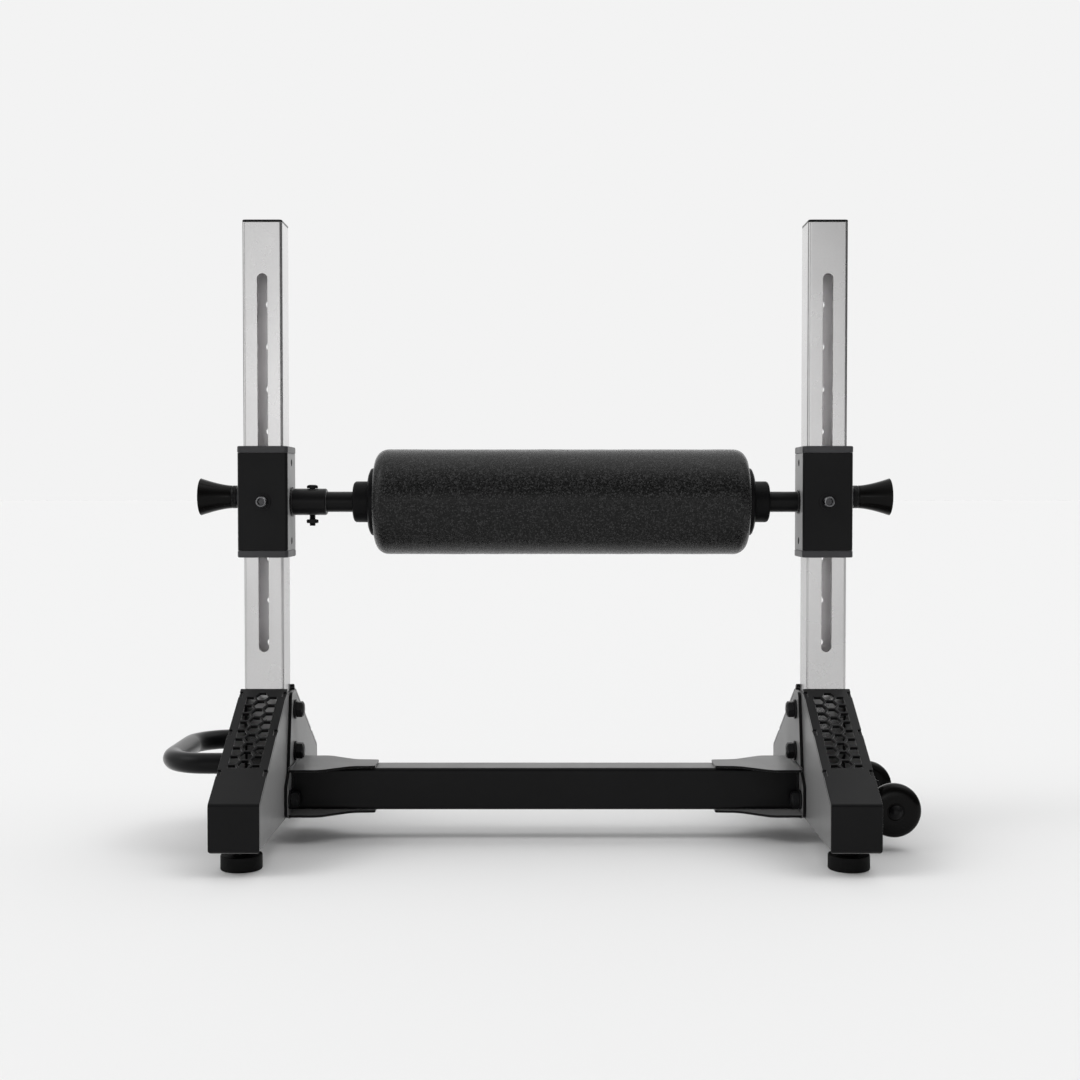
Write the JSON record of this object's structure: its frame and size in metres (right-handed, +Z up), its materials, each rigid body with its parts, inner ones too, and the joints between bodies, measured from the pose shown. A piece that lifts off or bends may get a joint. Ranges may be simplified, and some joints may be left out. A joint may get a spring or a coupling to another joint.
{
  "type": "bulgarian split squat stand",
  "caption": "Floor stand with slotted square uprights on honeycomb feet and a padded roller on a carriage that slides up and down and locks with pull pins.",
  "frame": {"origin": "on the floor, under the middle of the stand's overall box", "axes": "+X from the carrying handle's side to the transport wheels' side, -Y the side that faces the viewer in the picture, +Z up"},
  "size_m": [0.9366, 0.432, 0.78],
  "materials": {
    "silver_coat": "silver metallic powder coat, fine grain, satin",
    "black_coat": "satin black powder coat",
    "dark_steel": "black oxide steel, semi-gloss",
    "spring_steel": "bright spring wire",
    "black_plastic": "moulded black nylon, satin",
    "gloss_plastic": "polished black plastic",
    "rubber": "matt black rubber",
    "foam": "dense black bead foam with a pebbled skin"
  },
  "bodies": {
    "frame": {"left_upright": "silver_coat", "left_upright_cap": "black_plastic", "left_foot_inner_plate": "black_coat", "left_foot_outer_plate": "black_coat", "left_front_cover": "black_coat", "left_rear_cover": "black_coat", "left_top_gusset": "black_coat", "left_bottom_gusset": "black_coat", "left_end_plate": "black_coat", "left_front_rubber_foot": "rubber", "left_rear_rubber_foot": "rubber", "left_frame_bolt_1": "dark_steel", "left_frame_bolt_2": "dark_steel", "left_frame_bolt_3": "dark_steel", "left_frame_bolt_4": "dark_steel", "right_upright": "silver_coat", "right_upright_cap": "black_plastic", "right_foot_inner_plate": "black_coat", "right_foot_outer_plate": "black_coat", "right_front_cover": "black_coat", "right_rear_cover": "black_coat", "right_top_gusset": "black_coat", "right_bottom_gusset": "black_coat", "right_end_plate": "black_coat", "right_front_rubber_foot": "rubber", "right_rear_rubber_foot": "rubber", "right_frame_bolt_1": "dark_steel", "right_frame_bolt_2": "dark_steel", "right_frame_bolt_3": "dark_steel", "right_frame_bolt_4": "dark_steel", "cross_tube": "black_coat", "carry_handle": "black_coat", "wheel_bracket": "black_coat", "wheel_axle": "dark_steel"},
    "carriage": {"left_sleeve": "black_coat", "left_top_liner": "black_plastic", "left_bottom_liner": "black_plastic", "left_guide_bolt": "dark_steel", "left_pin_barrel": "dark_steel", "left_pin_spring": "spring_steel", "right_sleeve": "black_coat", "right_top_liner": "black_plastic", "right_bottom_liner": "black_plastic", "right_guide_bolt": "dark_steel", "right_pin_barrel": "dark_steel", "right_pin_spring": "spring_steel", "shaft_socket": "black_coat", "roller_shaft": "black_coat", "socket_bolt": "dark_steel"},
    "roller": {"roller_foam": "foam", "roller_core": "dark_steel", "left_roller_hub": "black_plastic", "left_roller_bush": "black_plastic", "right_roller_hub": "black_plastic", "right_roller_bush": "black_plastic"},
    "left_pin": {"left_pull_pin": "gloss_plastic"},
    "right_pin": {"right_pull_pin": "gloss_plastic"},
    "front_wheel": {"front_wheel": "gloss_plastic"},
    "rear_wheel": {"rear_wheel": "gloss_plastic"}
  },
  "joints": [
    {"name": "carriage_lift", "type": "slide", "parent": "frame", "child": "carriage", "axis": [0, 0, 1], "range_m": [-0.1626, 0.271]},
    {"name": "roller_spin", "type": "hinge", "parent": "carriage", "child": "roller", "pos_m": [0.0277, 0, 0.4272], "axis": [1, 0, 0], "continuous": true},
    {"name": "left_pin_lock", "type": "slide", "parent": "carriage", "child": "left_pin", "axis": [1, 0, 0], "range_m": [0, 0.0055], "deforming": ["left_pin_spring"]},
    {"name": "right_pin_lock", "type": "slide", "parent": "carriage", "child": "right_pin", "axis": [-1, 0, 0], "range_m": [0, 0.0055], "deforming": ["right_pin_spring"]},
    {"name": "front_wheel_spin", "type": "hinge", "parent": "frame", "child": "front_wheel", "pos_m": [0.4349, -0.079, 0.0493], "axis": [0, 1, 0], "continuous": true},
    {"name": "rear_wheel_spin", "type": "hinge", "parent": "frame", "child": "rear_wheel", "pos_m": [0.4349, 0.079, 0.0493], "axis": [0, 1, 0], "continuous": true}
  ]
}
